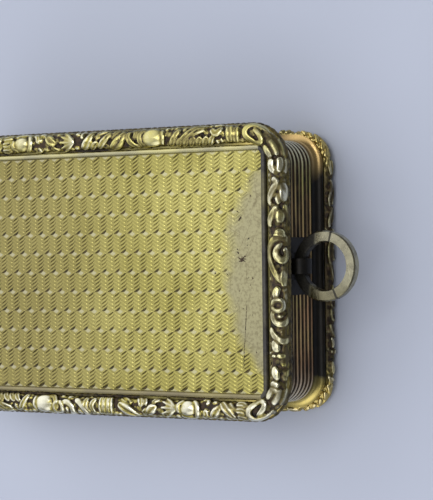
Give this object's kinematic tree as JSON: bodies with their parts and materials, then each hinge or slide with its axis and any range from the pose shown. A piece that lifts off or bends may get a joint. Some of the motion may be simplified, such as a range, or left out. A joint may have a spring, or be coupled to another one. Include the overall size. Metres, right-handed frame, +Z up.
{
  "type": "vinaigrette",
  "caption": "Small hinged scent box with engine-turned panels, cast borders, reeded walls, a pierced hinged grille over a sponge, and a suspension ring.",
  "frame": {"origin": "middle of the foot that the box stands on", "axes": "+Z up to the lid, +X along the length to the suspension ring, +Y to the back where the lid hinge is"},
  "size_m": [0.043, 0.025, 0.0099],
  "materials": {
    "gilt": "worn gilding over silver, polished",
    "cast_gilt": "cast relief, bright on the high points and dark in the recesses",
    "silver": "polished silver, slightly tarnished",
    "sponge": "dry natural sponge"
  },
  "bodies": {
    "box": {"base_rim": "gilt", "base_cast_border": "cast_gilt", "base_panel": "gilt", "base_wire": "gilt", "foot_cove": "gilt", "side_wall": "gilt", "box_knuckles": "gilt", "lid_hinge_pin": "silver", "grille_seat": "gilt", "grille_brackets": "gilt", "grille_hinge_pin": "silver", "sponge": "sponge", "ring_lug": "silver"},
    "lid": {"lid_rim": "gilt", "lid_cast_border": "cast_gilt", "lid_panel": "gilt", "lid_wire": "gilt", "lid_flange": "gilt", "lid_knuckles": "gilt"},
    "grille": {"grille_plate": "gilt", "grille_strip": "gilt", "grille_knuckles": "gilt"},
    "ring": {"suspension_ring": "silver"}
  },
  "joints": [
    {"name": "lid_hinge", "type": "hinge", "parent": "box", "child": "lid", "pos_m": [0, 0.01165, 0.00815], "axis": [-1, 0, 0], "range_deg": [0, 105]},
    {"name": "grille_hinge", "type": "hinge", "parent": "box", "child": "grille", "pos_m": [0, 0.00985, 0.00643], "axis": [-1, 0, 0], "range_deg": [0, 90]},
    {"name": "ring_swing", "type": "hinge", "parent": "box", "child": "ring", "pos_m": [0.01852, 0.00045, 0.00597], "axis": [0, 1, 0], "range_deg": [-62, 76]}
  ],
  "couplings": [
    {"joint": "grille_hinge", "follows": "lid_hinge", "ratio": 0.85714}
  ]
}
